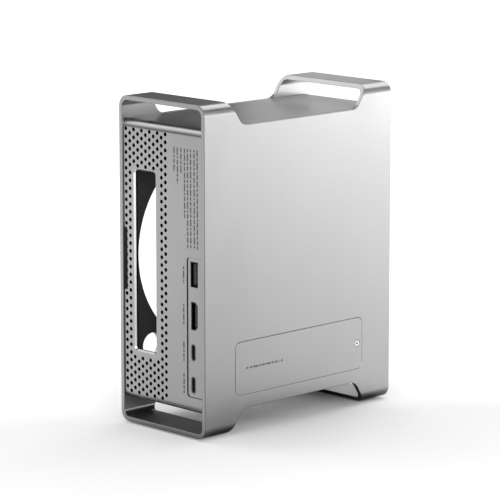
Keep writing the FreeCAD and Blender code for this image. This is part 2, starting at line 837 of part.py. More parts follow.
def make_computer_cradle():
    """The moulded bay for the computer, with its front bezel and board standoffs."""
    deep = (cradle_rear, shell_front)
    tall = (shell_floor, cradle_high)
    web = dim("cradle_wall")
    left = box("cradle_left_wall", (cradle_left, bay_left), deep, tall)
    right = box("cradle_right_wall", (bay_right, cradle_right), deep, tall)
    across = (cradle_left, cradle_right)
    floor = box("cradle_floor", across, deep, (bay_floor - web, bay_floor))
    ceiling = box("cradle_ceiling", across, deep, (bay_ceiling, bay_ceiling + web))
    bezel = box("cradle_bezel", (cradle_left, shell_right),
                (shell_front - dim("bezel_thickness"), shell_front), tall)
    pieces = [left, right, floor, ceiling, bezel]
    for index, (y, z) in enumerate(board_screw_spots):
        pieces.append(rod("standoff_%d" % index, "X", (bay_right + web / 2, y, z),
                          web / 2 + dim("board_standoff"), dim("standoff_diameter")))
    for index, (x, y) in enumerate(shell_screw_spots):
        pieces.append(rod("floor_boss_%d" % index, "Z", (x, y, shell_floor),
                          dim("cradle_rail_height") - web / 2, dim("shell_screw_boss")))
    past = dim("liner_thickness")
    bay = box("bay_mouth", (bay_left, bay_right), (cradle_rear - past, shell_front + past),
              (bay_floor, bay_ceiling))
    tools = [bay]
    for name, y, z, diameter in (("vent_window", vent_y, vent_z, dim("vent_diameter")),
                                 ("button_window", button_y, button_z,
                                  dim("button_hole_diameter"))):
        tools.append(rod(name, "X", (cradle_left - past, y, z), past * 3, diameter))
    pilot = dim("screw_clearance")
    for index, (y, z) in enumerate(board_screw_spots):
        tools.append(rod("standoff_hole_%d" % index, "X", (bay_right + web / 4, y, z),
                         web + dim("board_standoff"),
                         dim("board_screw_diameter") + pilot))
    for index, (x, y) in enumerate(shell_screw_spots):
        tools.append(rod("floor_boss_hole_%d" % index, "Z", (x, y, shell_low),
                         dim("shell_screw_length") + dim("screw_clearance"),
                         dim("shell_screw_diameter") + pilot))
    blank = fuse("cradle_blank", pieces)
    return finish(cut("cradle_finished", blank, tools), "computer_cradle")


def make_bay_strips():
    """Two soft strips on the bay floor that the computer stands on."""
    inset = dim("strip_side_inset")
    width = dim("strip_width")
    lengthwise = (cradle_rear + dim("strip_end_inset"), shell_front - dim("strip_end_inset"))
    upright = (bay_floor, bay_floor + dim("strip_height"))
    strips = [
        box("left_strip", (bay_left + inset, bay_left + inset + width), lengthwise, upright),
        box("right_strip", (bay_right - inset - width, bay_right - inset), lengthwise, upright),
    ]
    return finish(group("strip_group", strips), "bay_strips")


def make_main_board():
    """The circuit board that carries the sockets and the drive bay."""
    blank = box("board_blank", (board_back, board_face), (board_rear, board_front),
                (board_low, board_high))
    clearance = dim("screw_clearance") * 2
    holes = [rod("board_hole_%d" % index, "X", (board_back - clearance, y, z),
                 dim("board_thickness") + clearance * 2,
                 dim("board_screw_diameter") + clearance)
             for index, (y, z) in enumerate(board_screw_spots)]
    return finish(cut("board_drilled", blank, holes), "main_board")


def make_board_screws():
    """Pan-head screws through the board into the cradle's standoffs."""
    reach = dim("board_thickness") + dim("board_standoff") + dim("cradle_wall") / 2
    screws = []
    for index, (y, z) in enumerate(board_screw_spots):
        name = "board_screw_%d" % index
        head_height = dim("board_screw_head_height")
        head = rod(name + "_head", "X", (board_face, y, z), head_height,
                   dim("board_screw_head"))
        shank = rod(name + "_shank", "X", (board_face - reach, y, z), reach + head_height / 2,
                    dim("board_screw_diameter"))
        recess = rod(name + "_recess", "X", (board_face + head_height / 2, y, z), head_height,
                     dim("board_screw_recess"))
        screws.append(cut(name, fuse(name + "_blank", [head, shank]), [recess]))
    return finish(group("board_screw_group", screws), "board_screws")


def board_block(name, y, z, side, height):
    """A square component that stands on the board."""
    half = side / 2
    return box(name, (board_face, board_face + height), (y - half, y + half),
               (z - half, z + half))


def make_board_parts():
    """Chips, coils and capacitors between the drive bay and the board's upper edge."""
    step = (board_high - frame_high) / 3
    low_row = frame_high + step
    high_row = frame_high + step * 2
    column = dim("component_spacing")
    middle = (board_front + board_rear) / 2
    chips = [
        board_block("hub_chip", middle - column, high_row, dim("hub_chip_side"),
                    dim("chip_height")),
        board_block("bridge_chip", middle - column, low_row, dim("bridge_chip_side"),
                    dim("chip_height")),
        board_block("power_chip", middle, high_row, dim("power_chip_side"), dim("chip_height")),
    ]
    finish(group("chip_group", chips), "board_chips")
    coils = [board_block("coil_%d" % index, middle + column, row, dim("coil_side"),
                         dim("coil_height"))
             for index, row in enumerate((low_row, high_row))]
    finish(group("coil_group", coils), "board_coils")
    cans = [rod("can_%d" % index, "X", (board_face, middle + dim("can_spacing") * index, low_row),
                dim("can_height"), dim("can_diameter"))
            for index in range(2)]
    finish(group("can_group", cans), "board_capacitors")


def make_drive_frame():
    """Three walls round the drive bay, with the boss for the door's screw."""
    wall = dim("frame_wall")
    frame_length = frame_top - board_face
    body = new_body("frame_body")
    outline = new_sketch(body, "frame_outline", "YZ_Plane")
    draw_rounded_rectangle(outline, connector_rear, frame_front, frame_low, frame_high,
                           dim("door_radius"))
    bind(outline, "AttachmentOffset.Base.z", board_face)
    pad(body, outline, frame_length)
    inside = new_sketch(body, "frame_inside", "YZ_Plane")
    draw_rectangle(inside, connector_rear - wall, frame_front - wall,
                   frame_low + wall, frame_high - wall)
    pocket(body, inside, side="Symmetric")
    boss_size = insert_outside() + dim("boss_wall") * 2
    boss_length = boss_top() - board_face
    boss = rod("frame_boss", "X", (board_face, screw_y, door_z), boss_length, boss_size)
    web = box("frame_web", (board_face, boss_top()), (screw_y, frame_front - wall / 2),
              (door_z - wall / 2, door_z + wall / 2))
    hole = rod("frame_boss_hole", "X", (board_face, screw_y, door_z),
               boss_length * 2, insert_outside())
    return finish(cut("frame_finished", fuse("frame_blank", [body, boss, web]), [hole]),
                  "drive_frame")


def insert_outside():
    """Outer diameter of the brass insert, round the screw with room for the door's swing."""
    return dim("door_screw_diameter") + dim("insert_clearance") * 2 + dim("insert_wall") * 2


def boss_top():
    """Height of the boss, below the clip on the screw."""
    return door_inside - dim("clip_gap") - dim("clip_thickness") - dim("insert_sink")


def make_door_insert():
    """The brass insert that takes the door's screw."""
    low = boss_top() - dim("insert_length")
    outside = rod("insert_outside", "X", (low, screw_y, door_z), dim("insert_length"),
                  insert_outside())
    bore = rod("insert_bore", "X", (low - dim("insert_wall"), screw_y, door_z),
               dim("insert_length") * 2, insert_outside() - dim("insert_wall") * 2)
    return finish(cut("insert_finished", outside, [bore]), "door_insert")


def make_drive_connector():
    """The card-edge connector at the rear of the drive bay."""
    half = dim("connector_width") / 2
    front = connector_rear + dim("connector_length")
    top = board_face + dim("connector_height")
    block = box("connector_block", (board_face, top), (connector_rear, front),
                (door_z - half, door_z + half))
    half_slot = dim("card_slot_width") / 2
    slot_high = top - dim("card_slot_top")
    slot = box("card_slot", (slot_high - dim("card_slot_height"), slot_high),
               (front - dim("card_slot_depth"), front + dim("card_slot_depth")),
               (door_z - half_slot, door_z + half_slot))
    return finish(cut("connector_finished", block, [slot]), "drive_connector")


def make_latch():
    """A post on the board and the small latch that turns on it to hold a drive's end."""
    post_top = board_face + dim("latch_post_height")
    post = rod("post_blank", "X", (board_face, latch_y, door_z), dim("latch_post_height"),
               dim("latch_post_diameter"))
    bore_size = dim("latch_pin_diameter") + dim("latch_pin_clearance") * 2
    bore = rod("post_bore", "X", (post_top - dim("latch_pin_length") - dim("latch_lift"),
                                  latch_y, door_z),
               dim("latch_post_height"), bore_size)
    finish(cut("post_finished", post, [bore]), "latch_post")
    low = post_top + dim("latch_lift")
    hub = rod("latch_hub", "X", (low, latch_y, door_z), dim("latch_height"),
              dim("latch_post_diameter"))
    pin = rod("latch_pin", "X", (low - dim("latch_pin_length"), latch_y, door_z),
              dim("latch_pin_length") + dim("latch_height") / 2, dim("latch_pin_diameter"))
    half = dim("latch_lobe_width") / 2
    lobe = box("latch_lobe", (low, low + dim("latch_height")),
               (latch_y - dim("latch_reach"), latch_y), (door_z - half, door_z + half))
    finish(fuse("latch_finished", [hub, pin, lobe]), "drive_latch")


def make_drive_door():
    """The flush cover of the drive bay, with two hooks behind the wall at its rear end."""
    body = new_body("door_body")
    outline = new_sketch(body, "door_outline", "YZ_Plane")
    draw_rounded_rectangle(outline, door_rear, door_front, door_low, door_high,
                           dim("door_radius"))
    bind(outline, "AttachmentOffset.Base.z", door_inside)
    pad(body, outline, dim("door_thickness"))
    sink = new_sketch(body, "door_sink", "YZ_Plane")
    clearance = dim("door_screw_clearance")
    draw_circle(sink, screw_y, door_z, dim("door_screw_head") + clearance * 2)
    bind(sink, "AttachmentOffset.Base.z", half_width - dim("door_screw_head_height") - clearance)
    pocket(body, sink, dim("door_thickness"), backwards=True)
    hole = new_sketch(body, "door_hole", "YZ_Plane")
    draw_circle(hole, screw_y, door_z, dim("door_screw_diameter") + clearance * 2)
    pocket(body, hole, side="Symmetric")
    toe_top = wall_inside - dim("hook_gap")
    toe_low = toe_top - dim("hook_toe")
    heel = door_rear + dim("hook_inset")
    pieces = [body]
    for side in (-1, 1):
        middle = door_z + dim("hook_spread") / 2 * side
        tall = (middle - dim("hook_width") / 2, middle + dim("hook_width") / 2)
        name = "upper" if side > 0 else "lower"
        pieces.append(box(name + "_hook_leg", (toe_low, door_inside + dim("door_thickness") / 2),
                          (heel, heel + dim("hook_leg")), tall))
        pieces.append(box(name + "_hook_toe", (toe_low, toe_top),
                          (door_rear - dim("hook_reach"), heel + dim("hook_leg")), tall))
    return finish(fuse("door_finished", pieces), "drive_door")


def make_thermal_pad():
    """The soft pad on the inside of the door that takes heat from a drive."""
    half = dim("thermal_pad_width") / 2
    blank = box("thermal_blank", (door_inside - dim("thermal_pad_thickness"), door_inside),
                (door_rear + dim("thermal_pad_rear_inset"),
                 door_front - dim("thermal_pad_front_inset")),
                (door_z - half, door_z + half))
    return finish(blank, "thermal_pad")


def make_door_screw():
    """The captive screw of the door and the clip behind it."""
    head_top = half_width - dim("door_screw_sink")
    head_low = head_top - dim("door_screw_head_height")
    head = rod("door_screw_head_blank", "X", (head_low, screw_y, door_z),
               dim("door_screw_head_height"), dim("door_screw_head"))
    shank = rod("door_screw_shank", "X", (head_low - dim("door_screw_length"), screw_y, door_z),
                dim("door_screw_length") + dim("door_screw_head_height") / 2,
                dim("door_screw_diameter"))
    recess = doc.addObject("Part::Prism", "door_screw_recess_tool")
    recess.Polygon = 6
    recess.Placement = FreeCAD.Placement(ORIGIN, FreeCAD.Rotation(AXES["Z"], AXES["X"]))
    bind(recess, "Circumradius", dim("door_screw_recess") / 2)
    bind(recess, "Height", dim("door_screw_head_height"))
    place(recess, head_top - dim("door_screw_recess_depth"), screw_y, door_z)
    finish(cut("door_screw_finished", fuse("door_screw_blank", [head, shank]), [recess]),
           "door_screw")
    clip_low = door_inside - dim("clip_gap") - dim("clip_thickness")
    ring = rod("clip_ring", "X", (clip_low, screw_y, door_z), dim("clip_thickness"),
               dim("clip_diameter"))
    bore = rod("clip_bore", "X", (clip_low - dim("clip_thickness"), screw_y, door_z),
               dim("clip_thickness") * 3, dim("door_screw_diameter"))
    finish(cut("clip_finished", ring, [bore]), "screw_clip")


def make_foot_pads():
    """A rubber pad under each foot bar."""
    for name, side in (("rear_foot_pad", -1), ("front_foot_pad", 1)):
        body = new_body(name + "_body")
        outline = new_sketch(body, name + "_outline", "XY_Plane")
        middle = (half_depth - dim("bar_depth") / 2) * side
        half = dim("pad_depth") / 2
        inset = half_width - dim("pad_end_inset")
        draw_rounded_rectangle(outline, -inset, inset, middle - half, middle + half,
                               dim("pad_radius"))
        pad(body, outline, dim("pad_height"))
        finish(body, name)


def check_document():
    """Stop if any object failed or any sub-part has no valid solid."""
    doc.recompute()
    for thing in doc.Objects:
        if "Invalid" in thing.State or "Error" in thing.State:
            raise RuntimeError("%s failed: %s" % (thing.Name, thing.State))
    for node in nodes:
        if node.Shape.isNull() or not node.Shape.isValid() or not node.Shape.Solids:
            raise RuntimeError("%s has no valid solid" % node.Label)


def write_parts():
    os.makedirs("parts", exist_ok=True)
    for node in nodes:
        node.Shape.exportStep("parts/%s.step" % node.Label)


make_outer_sleeve()
make_inner_shell()
make_shell_screws()
make_port_plate()
make_sockets()
make_computer_cradle()
make_bay_strips()
make_main_board()
make_board_screws()
make_board_parts()
make_drive_frame()
make_door_insert()
make_drive_connector()
make_latch()
make_drive_door()
make_thermal_pad()
make_door_screw()
make_foot_pads()
check_document()
write_parts()
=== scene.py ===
import json
import math

import bmesh
import bpy
from mathutils import Matrix, Vector


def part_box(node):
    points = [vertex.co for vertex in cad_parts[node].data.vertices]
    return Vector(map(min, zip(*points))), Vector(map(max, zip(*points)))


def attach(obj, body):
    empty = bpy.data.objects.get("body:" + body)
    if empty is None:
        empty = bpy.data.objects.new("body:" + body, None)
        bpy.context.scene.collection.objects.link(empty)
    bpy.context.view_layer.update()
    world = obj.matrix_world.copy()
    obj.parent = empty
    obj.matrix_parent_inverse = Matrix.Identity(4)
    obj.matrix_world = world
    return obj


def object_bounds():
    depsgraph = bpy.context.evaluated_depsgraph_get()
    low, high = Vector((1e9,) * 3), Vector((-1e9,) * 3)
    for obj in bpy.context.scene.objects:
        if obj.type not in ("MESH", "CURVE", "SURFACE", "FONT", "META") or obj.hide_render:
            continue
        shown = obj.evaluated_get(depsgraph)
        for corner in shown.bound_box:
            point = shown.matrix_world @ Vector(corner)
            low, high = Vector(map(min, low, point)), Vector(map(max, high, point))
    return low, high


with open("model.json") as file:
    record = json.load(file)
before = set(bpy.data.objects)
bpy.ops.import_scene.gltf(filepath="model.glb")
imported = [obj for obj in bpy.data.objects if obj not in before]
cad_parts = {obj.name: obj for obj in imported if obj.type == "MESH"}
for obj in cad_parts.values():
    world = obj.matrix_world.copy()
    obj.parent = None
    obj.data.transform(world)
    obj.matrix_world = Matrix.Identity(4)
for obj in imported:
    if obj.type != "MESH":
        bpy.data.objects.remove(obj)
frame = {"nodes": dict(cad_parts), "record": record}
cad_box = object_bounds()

MM = 0.001
SOCKETS = ("type_a", "video", "type_c_upper", "type_c_lower")
nodes = frame["nodes"]
scene = bpy.context.scene


# Materials

NOISE_LOW = 0.3  # nearly all of a noise texture lies between these two
NOISE_HIGH = 0.7
FLAT_COSINE = 0.99  # between a face's normal and its rounded normal, on a flat and on an edge
EDGE_COSINE = 0.86
SATIN_COLOUR = (0.45, 0.45, 0.452)
SATIN_ROUGHNESS = 0.30
BOARD_COLOUR = (0.012, 0.034, 0.026)
BOARD_ROUGHNESS = 0.38
# Bright-cut chamfer metal, made lighter still as a painted highlight
BRIGHT_CUT_AND_HIGHLIGHT = (0.95, 0.95, 0.95, 1.0)
# Painted shade in the holes of the pierced panel
PAINTED_HOLE_SHADE = (0.02, 0.02, 0.021, 1.0)
# Painted shade in a screw's socket
PAINTED_SOCKET_SHADE = (0.03, 0.03, 0.031, 1.0)
PLATED_HOLE = (0.62, 0.46, 0.20, 1.0)
BLACK = (0.0, 0.0, 0.0, 1.0)
WHITE = (1.0, 1.0, 1.0, 1.0)


class Finish:
    """A material with one Principled shader, built up from procedural textures."""

    def __init__(self, name, base, metallic=0.0):
        self.material = bpy.data.materials.new(name)
        self.material.use_nodes = True
        self.tree = self.material.node_tree
        self.shader = self.tree.nodes["Principled BSDF"]
        self.place = self.add("ShaderNodeTexCoord").outputs["Object"]
        self.base = base
        self.shader.inputs["Metallic"].default_value = metallic

    def add(self, kind, inputs=None, **settings):
        """Add a node; a value that is a socket is linked, any other is set."""
        node = self.tree.nodes.new(kind)
        for key, value in settings.items():
            setattr(node, key, value)
        for key, value in (inputs or {}).items():
            self.feed(node.inputs[key], value)
        return node

    def feed(self, socket, value):
        if isinstance(value, bpy.types.NodeSocket):
            self.tree.links.new(value, socket)
        else:
            socket.default_value = value

    def math(self, operation, *values):
        node = self.add("ShaderNodeMath", dict(enumerate(values)), operation=operation)
        return node.outputs["Value"]

    def vector(self, operation, result, *values):
        """Work on vectors; result names the socket that is read, Vector or Value."""
        node = self.add("ShaderNodeVectorMath", dict(enumerate(values)), operation=operation)
        return node.outputs[result]

    def total(self, first, *others):
        for other in others:
            first = self.math("ADD", first, other)
        return first

    def product(self, first, *others):
        for other in others:
            first = self.math("MULTIPLY", first, other)
        return first

    def mix(self, factor, first, second):
        """Mix two colours, which are the seventh and eighth sockets of the node."""
        node = self.add("ShaderNodeMix", data_type="RGBA")
        for socket, value in ((0, factor), (6, first), (7, second)):
            self.feed(node.inputs[socket], value)
        return node.outputs[2]

    def ramp(self, value, low, high, start, end):
        """Map a value from one range to another and hold it at the ends."""
        node = self.add("ShaderNodeMapRange", {
            "Value": value, "From Min": low, "From Max": high, "To Min": start, "To Max": end})
        return node.outputs["Result"]

    def around(self, texture, middle, below, above):
        """Map a noise texture to values a little below and above a middle value."""
        return self.ramp(texture, NOISE_LOW, NOISE_HIGH, middle - below, middle + above)

    def noise(self, scale, detail=2.0, stretch=None):
        place = self.place
        if stretch:
            place = self.add("ShaderNodeMapping", {"Vector": place, "Scale": stretch}).outputs["Vector"]
        node = self.add("ShaderNodeTexNoise", {"Vector": place, "Scale": scale, "Detail": detail})
        return node.outputs["Fac"]

    def edges(self, radius):
        """1 along the sharp edges, 0 on the flats."""
        rounded = self.add("ShaderNodeBevel", {"Radius": radius}, samples=4).outputs["Normal"]
        plain = self.add("ShaderNodeNewGeometry").outputs["Normal"]
        cosine = self.vector("DOT_PRODUCT", "Value", rounded, plain)
        return self.ramp(cosine, FLAT_COSINE, EDGE_COSINE, 0.0, 1.0)

    def parts(self, vector):
        """The three parts of a vector."""
        return self.add("ShaderNodeSeparateXYZ", {0: vector}).outputs

    def facing(self):
        """How far a face is turned along each axis, 0 to 1."""
        turned = self.parts(self.add("ShaderNodeNewGeometry").outputs["True Normal"])
        return [self.math("ABSOLUTE", part) for part in turned]

    def shade(self, amount):
        """The base colour made lighter or darker."""
        return tuple(min(1.0, part * amount) for part in self.base) + (1.0,)

    def colour(self, value):
        self.feed(self.shader.inputs["Base Color"], value)

    def recolour(self, mask, colour):
        """Paint over the base colour where the mask is 1."""
        plain = self.shader.inputs["Base Color"].links[0].from_socket
        self.colour(self.mix(mask, plain, colour))

    def rough(self, value):
        self.feed(self.shader.inputs["Roughness"], value)

    def bump(self, height, strength, distance):
        node = self.add("ShaderNodeBump", {
            "Height": height, "Strength": strength, "Distance": distance})
        self.feed(self.shader.inputs["Normal"], node.outputs["Normal"])


def satin_aluminium(name):
    """Blasted metal: fine grain, faint clouds, smoother edges and a painted highlight along the edges.
    """
    finish = Finish(name, SATIN_COLOUR, metallic=1.0)
    clouds = finish.noise(scale=18.0, detail=3.0)
    body = finish.mix(clouds, finish.shade(0.965), finish.shade(1.035))
    edge = finish.edges(radius=0.35 * MM)
    # Painted highlight: the edges' colour is made lighter to draw bright edge lines; their lower
    # roughness below is a smoother edge.
    finish.colour(finish.mix(edge, body, finish.shade(1.18)))
    streaks = finish.noise(scale=55.0, stretch=(1.0, 1.0, 0.35))
    satin = finish.around(streaks, SATIN_ROUGHNESS, below=0.025, above=0.025)
    rubbed = finish.product(edge, -0.06)
    finish.rough(finish.total(satin, rubbed))
    finish.bump(finish.noise(scale=5200.0), strength=0.06, distance=0.02 * MM)
    return finish


def pierced_aluminium(name, back):
    """Satin metal of a pierced panel: slanted edges cut bright with a painted highlight, painted shade
    on the cut faces.

    back is the y of the panel's inner face.
    """
    finish = satin_aluminium(name)
    sideways, across, _ = finish.facing()
    slanted = finish.product(finish.ramp(sideways, 0.3, 0.5, 0.0, 1.0),
                             finish.ramp(across, 0.5, 0.6, 0.0, 1.0))
    # Slanted chamfers: bright-cut metal, their colour raised further as a painted highlight.
    finish.recolour(slanted, BRIGHT_CUT_AND_HIGHLIGHT)
    # Painted shade: the cut faces of the holes are painted dark.
    outer = finish.math("LESS_THAN", finish.parts(finish.place)["Y"], back)
    hole_shade = finish.product(finish.ramp(across, 0.42, 0.36, 0.0, 1.0), outer)
    finish.recolour(hole_shade, PAINTED_HOLE_SHADE)
    return finish


def rimmed_aluminium(name, end):
    """Satin metal of an open sleeve with painted shade on its upright rim edges.

    end is how far out along y the rim starts.
    """
    finish = satin_aluminium(name)
    _, across, upward = finish.facing()
    depth = finish.math("ABSOLUTE", finish.parts(finish.place)["Y"])
    rim = finish.math("GREATER_THAN", depth, end)
    shaded_fillets = finish.product(finish.math("GREATER_THAN", across, 0.1),
                            finish.math("LESS_THAN", across, 0.985))
    upright = finish.ramp(upward, 0.2, 0.5, 1.0, 0.0)
    # Painted shade: the rounded faces of the upright rim edges are darkened to draw dark lines along
    # them.
    finish.recolour(finish.product(rim, shaded_fillets, upright), finish.shade(0.55))
    return finish


def turned_metal(name, base, roughness):
    """Turned or stamped metal with fine tool lines."""
    finish = Finish(name, base, metallic=1.0)
    lines = finish.noise(scale=900.0, stretch=(1.0, 0.06, 1.0))
    body = finish.mix(lines, finish.shade(0.9), finish.shade(1.1))
    finish.colour(finish.mix(finish.edges(radius=0.2 * MM), body, finish.shade(1.25)))
    finish.rough(finish.around(lines, roughness, below=0.05, above=0.05))
    finish.bump(lines, strength=0.15, distance=0.02 * MM)
    return finish


def socket_screw(name, base, roughness, head, radius):
    """Turned metal of a screw along x with painted shade in its socket; head is the middle of the
    head's face.
    """
    finish = turned_metal(name, base, roughness)
    flat = finish.vector("MULTIPLY", "Vector", finish.place, (0.0, 1.0, 1.0))
    reach = finish.vector("DISTANCE", "Value", flat, (0.0, head.y, head.z))
    inside = finish.math("LESS_THAN", reach, radius)
    sunk = finish.math("LESS_THAN", finish.parts(finish.place)["X"], head.x - 0.1 * MM)
    # Painted shade: the socket in the head is painted dark.
    finish.recolour(finish.product(inside, sunk), PAINTED_SOCKET_SHADE)
    return finish


def moulded_plastic(name, base, roughness, scale=3000.0, strength=0.25):
    """Moulded plastic with a fine spark texture and rubbed edges."""
    finish = Finish(name, base)
    clouds = finish.noise(scale=40.0, detail=3.0)
    body = finish.mix(clouds, finish.shade(0.85), finish.shade(1.15))
    finish.colour(finish.mix(finish.edges(radius=0.4 * MM), body, finish.shade(1.6)))
    grain = finish.noise(scale)
    finish.rough(finish.around(grain, roughness, below=0.06, above=0.06))
    finish.bump(grain, strength, distance=0.03 * MM)
    return finish


def circuit_board(name):
    """Dark solder mask over faint traces, with small plated holes."""
    finish = Finish(name, BOARD_COLOUR)
    flat = finish.add("ShaderNodeMapping", {
        "Vector": finish.place, "Rotation": (0.0, math.pi / 2, 0.0)}).outputs["Vector"]
    traces = finish.add("ShaderNodeTexBrick", {
        "Vector": flat, "Scale": 90.0, "Mortar Size": 0.012, "Color1": BLACK, "Color2": BLACK,
        "Mortar": WHITE, "Brick Width": 0.9, "Row Height": 0.11}).outputs["Color"]
    cells = finish.add("ShaderNodeTexVoronoi", {"Vector": finish.place, "Scale": 210.0})
    hole = finish.ramp(cells.outputs["Distance"], 0.10, 0.12, 1.0, 0.0)
    mask = finish.mix(traces, finish.shade(1.0), finish.shade(1.7))
    finish.colour(finish.mix(hole, mask, PLATED_HOLE))
    finish.feed(finish.shader.inputs["Metallic"], hole)
    finish.rough(finish.around(finish.noise(scale=600.0), BOARD_ROUGHNESS, below=0.06, above=0.06))
    finish.bump(traces, strength=0.5, distance=0.03 * MM)
    return finish


def soft_pad(name, base, roughness, scale):
    """Rubber or gel: matt, lightly mottled."""
    finish = Finish(name, base)
    specks = finish.noise(scale, detail=3.0)
    finish.colour(finish.mix(specks, finish.shade(0.75), finish.shade(1.25)))
    finish.rough(finish.around(specks, roughness, below=0.08, above=0.05))
    finish.bump(specks, strength=0.3, distance=0.05 * MM)
    return finish


# Each node takes its slot's finish, and a few have one of their own

slot_looks = {
    "satin_aluminium": satin_aluminium("satin_aluminium"),
    "black_plastic": moulded_plastic("black_plastic", (0.075, 0.075, 0.076), 0.50),
    "board": circuit_board("board"),
    "chip": moulded_plastic("chip", (0.026, 0.026, 0.028), 0.55, scale=5000.0, strength=0.15),
    "coil": moulded_plastic("coil", (0.13, 0.13, 0.135), 0.62, scale=2600.0, strength=0.5),
    "can": turned_metal("can", (0.66, 0.66, 0.66), 0.28),
    "steel": turned_metal("steel", (0.52, 0.52, 0.53), 0.30),
    "brass": turned_metal("brass", (0.72, 0.52, 0.24), 0.30),
    "rubber": soft_pad("rubber", (0.030, 0.030, 0.031), 0.75, scale=1800.0),
    "thermal": soft_pad("thermal", (0.36, 0.43, 0.52), 0.80, scale=900.0),
}
contact_gold = turned_metal("contact_gold", (0.83, 0.62, 0.27), 0.24)
dark_nickel = turned_metal("dark_nickel", (0.045, 0.045, 0.047), 0.38)
grey_nickel = turned_metal("grey_nickel", (0.28, 0.28, 0.283), 0.38)
print_ink = moulded_plastic("print_ink", (0.13, 0.13, 0.132), 0.60, scale=2400.0, strength=0.1)

for subpart in frame["record"]["subparts"]:
    materials = nodes[subpart["node"]].data.materials
    materials.clear()
    materials.append(slot_looks[subpart["material_slot"]].material)

panel_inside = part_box("port_plate")[1].y
sleeve_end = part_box("outer_sleeve")[1].y
screw_low, screw_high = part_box("door_screw")
screw_head = (screw_low + screw_high) / 2
screw_head.x = screw_high.x
own_looks = {
    "outer_sleeve": rimmed_aluminium("rimmed_aluminium", end=sleeve_end - 0.35 * MM),
    "inner_shell": pierced_aluminium("pierced_aluminium", back=panel_inside - 0.05 * MM),
    "door_screw": socket_screw("bright_steel", (0.85, 0.85, 0.85), 0.20, screw_head, radius=0.68 * MM),
    "type_a_shell": dark_nickel,
    "video_shell": dark_nickel,
    "type_c_upper_shell": grey_nickel,
    "type_c_lower_shell": grey_nickel,
}
for name, look in own_looks.items():
    nodes[name].data.materials[0] = look.material


# Edge breaks, in millimetres

WELD_REACH = 0.001
FLAT_ANGLE = math.radians(0.2)  # faces that meet at less than this are one flat
BREAK_ANGLE = math.radians(35)  # edges that turn by more than this are broken


def soften(name, width, segments=2, merge_flats=True):
    """Break the sharp edges of a CAD node by a small rounded bevel."""
    piece = nodes[name]
    weld = piece.modifiers.new("weld", "WELD")
    weld.merge_threshold = WELD_REACH * MM
    if merge_flats:
        flats = piece.modifiers.new("flats", "DECIMATE")
        flats.decimate_type = "DISSOLVE"
        flats.angle_limit = FLAT_ANGLE
    bevel = piece.modifiers.new("edge", "BEVEL")
    bevel.width = width * MM
    bevel.segments = segments
    bevel.limit_method = "ANGLE"
    bevel.angle_limit = BREAK_ANGLE
    bevel.miter_outer = "MITER_ARC"
    normals = piece.modifiers.new("normals", "WEIGHTED_NORMAL")
    normals.keep_sharp = False


soften("outer_sleeve", 0.32, segments=3)
soften("drive_door", 0.14)
soften("port_plate", 0.12)
soften("computer_cradle", 0.30, merge_flats=False)
for name in ("drive_frame", "drive_connector", "drive_latch", "rear_foot_pad", "front_foot_pad"):
    soften(name, 0.20)
for name in ("bay_strips", "thermal_pad", "board_chips", "board_coils", "main_board"):
    soften(name, 0.15)
for name in ("door_screw", "screw_clip", "board_screws", "shell_screws", "door_insert", "latch_post",
             "board_capacitors"):
    soften(name, 0.06)
for socket in SOCKETS:
    soften(f"{socket}_shell", 0.06)
    soften(f"{socket}_tongue", 0.06)


# Small parts

def add_piece(name, mesh, look, body):
    """A finished mesh that moves with a body of the part."""
    data = bpy.data.meshes.new(name)
    mesh.to_mesh(data)
    mesh.free()
    data.materials.append(look.material)
    piece = bpy.data.objects.new(name, data)
    scene.collection.objects.link(piece)
    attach(piece, body)


def add_block(mesh, low, high, rounding=0.0):
    """A block between two corners, with its edges rounded."""
    low = Vector(low)
    high = Vector(high)
    made = bmesh.ops.create_cube(mesh, size=1.0)
    shape = Matrix.Translation((low + high) / 2) @ Matrix.Diagonal((*(high - low), 1.0))
    bmesh.ops.transform(mesh, matrix=shape, verts=made["verts"])
    if rounding:
        edges = {edge for vert in made["verts"] for edge in vert.link_edges}
        bmesh.ops.bevel(mesh, geom=list(edges), offset=rounding, segments=1,
                        affect="EDGES", clamp_overlap=True)


# Contacts on the sockets' tongues, in millimetres

CONTACT_SUNK = 0.10
CONTACT_PROUD = 0.07
CONTACT_ROUNDING = 0.03
CONTACT_START = 0.5  # behind the tongue's tip
CONTACTS = {  # rows as side and count, pitch, width, and where they end behind the tip
    "type_a": (((1, 4),), 2.3, 1.0, 7.0),
    "video": (((1, 10), (-1, 9)), 1.0, 0.45, 6.0),
    "type_c_upper": (((1, 12), (-1, 12)), 0.5, 0.25, 4.5),
    "type_c_lower": (((1, 12), (-1, 12)), 0.5, 0.25, 4.5),
}


def contact_rows(node, rows, pitch, width, reach):
    """Gold fingers along both faces of a socket's tongue, or along one of them."""
    low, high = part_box(node)
    middle = (low.z + high.z) / 2
    mesh = bmesh.new()
    for side, count in rows:
        face = high.x if side > 0 else low.x
        inner = face - side * CONTACT_SUNK * MM
        outer = face + side * CONTACT_PROUD * MM
        for index in range(count):
            z = middle + (index - (count - 1) / 2) * pitch * MM
            add_block(mesh, (min(inner, outer), low.y + CONTACT_START * MM, z - width * MM / 2),
                      (max(inner, outer), low.y + reach * MM, z + width * MM / 2),
                      CONTACT_ROUNDING * MM)
    return mesh


for socket in SOCKETS:
    contacts = contact_rows(f"{socket}_tongue", *CONTACTS[socket])
    add_piece(f"{socket}_contacts", contacts, contact_gold, "chassis")


# Print, in millimetres: dashes of word length in place of words

